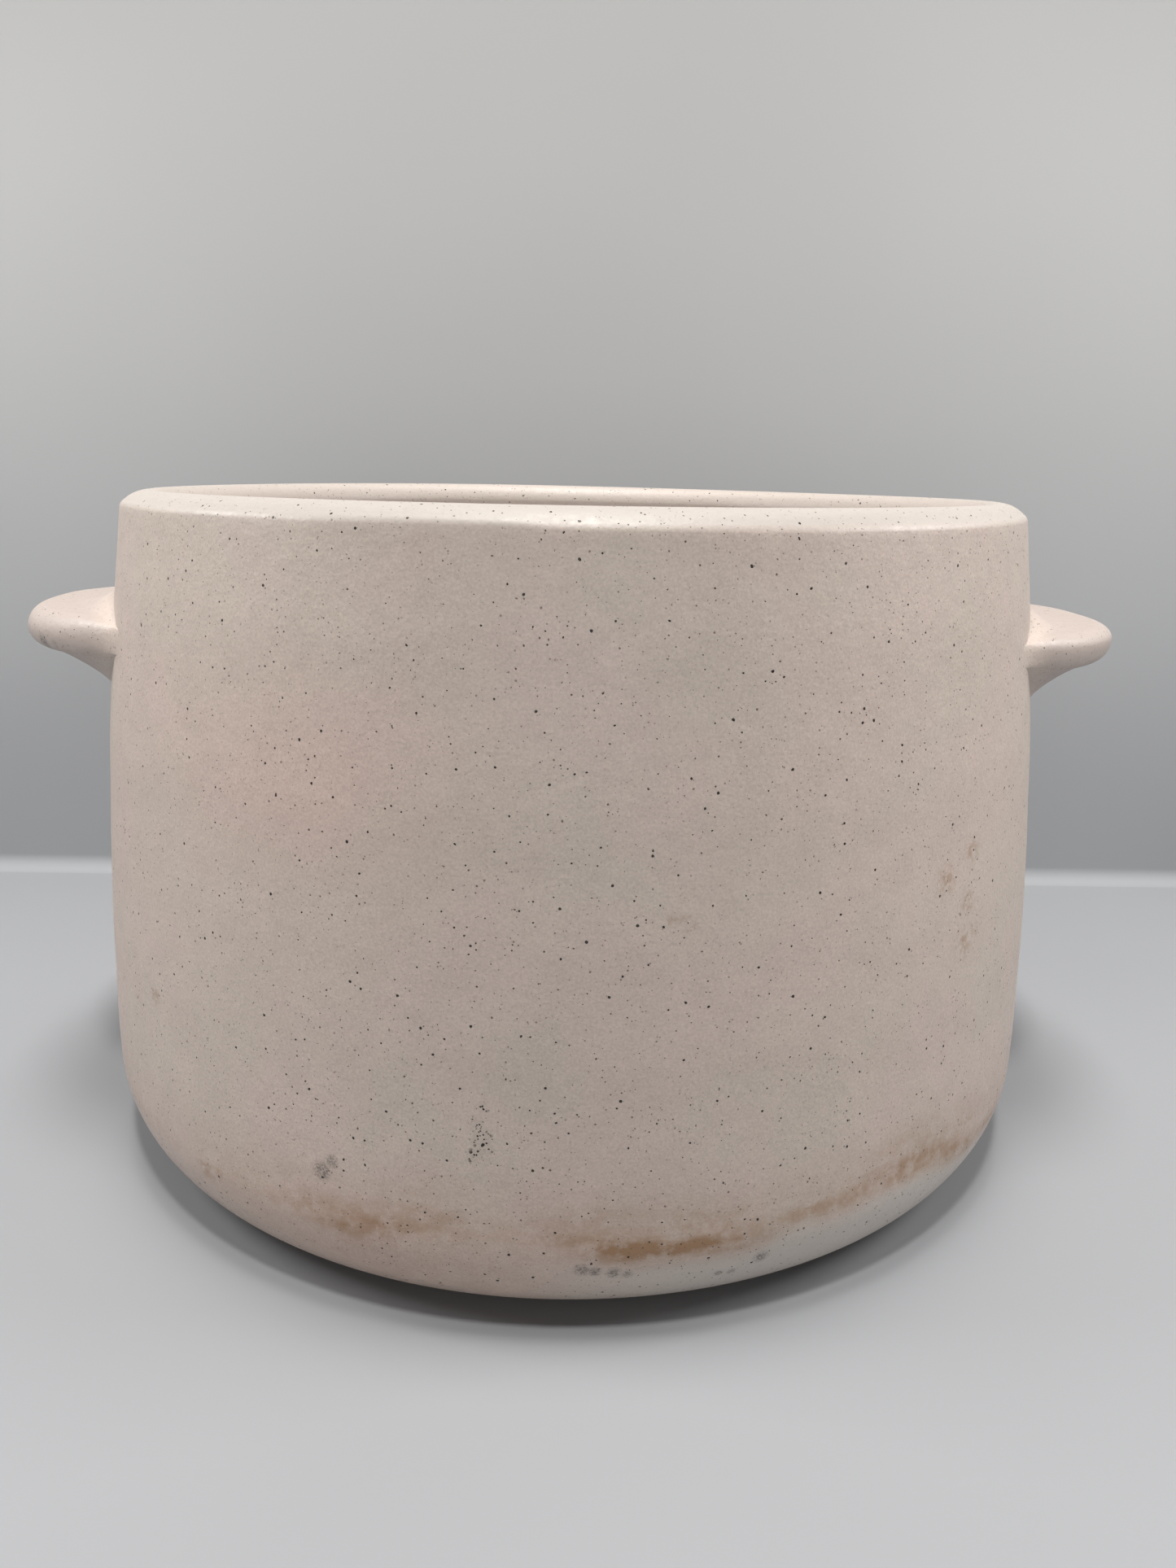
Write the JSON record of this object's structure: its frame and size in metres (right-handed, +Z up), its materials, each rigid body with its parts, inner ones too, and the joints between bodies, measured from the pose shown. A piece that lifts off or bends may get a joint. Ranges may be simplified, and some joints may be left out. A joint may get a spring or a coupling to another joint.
{
  "type": "two-eared stoneware pot",
  "caption": "Open round-bellied stoneware pot with a bevelled lip and a solid half-moon ear handle on each side; it holds heated stones or other loose contents.",
  "frame": {"origin": "centre of the pot's foot, on the plane it stands on", "axes": "+Z up along the pot's axis of turning, +X through the right ear, +Y to the back"},
  "size_m": [0.2508, 0.22, 0.146],
  "materials": {
    "speckled_glaze": "satin, warm greige with fine dark iron speckles"
  },
  "bodies": {
    "root": {"pot_body": "speckled_glaze", "right_ear": "speckled_glaze", "left_ear": "speckled_glaze"}
  },
  "joints": []
}
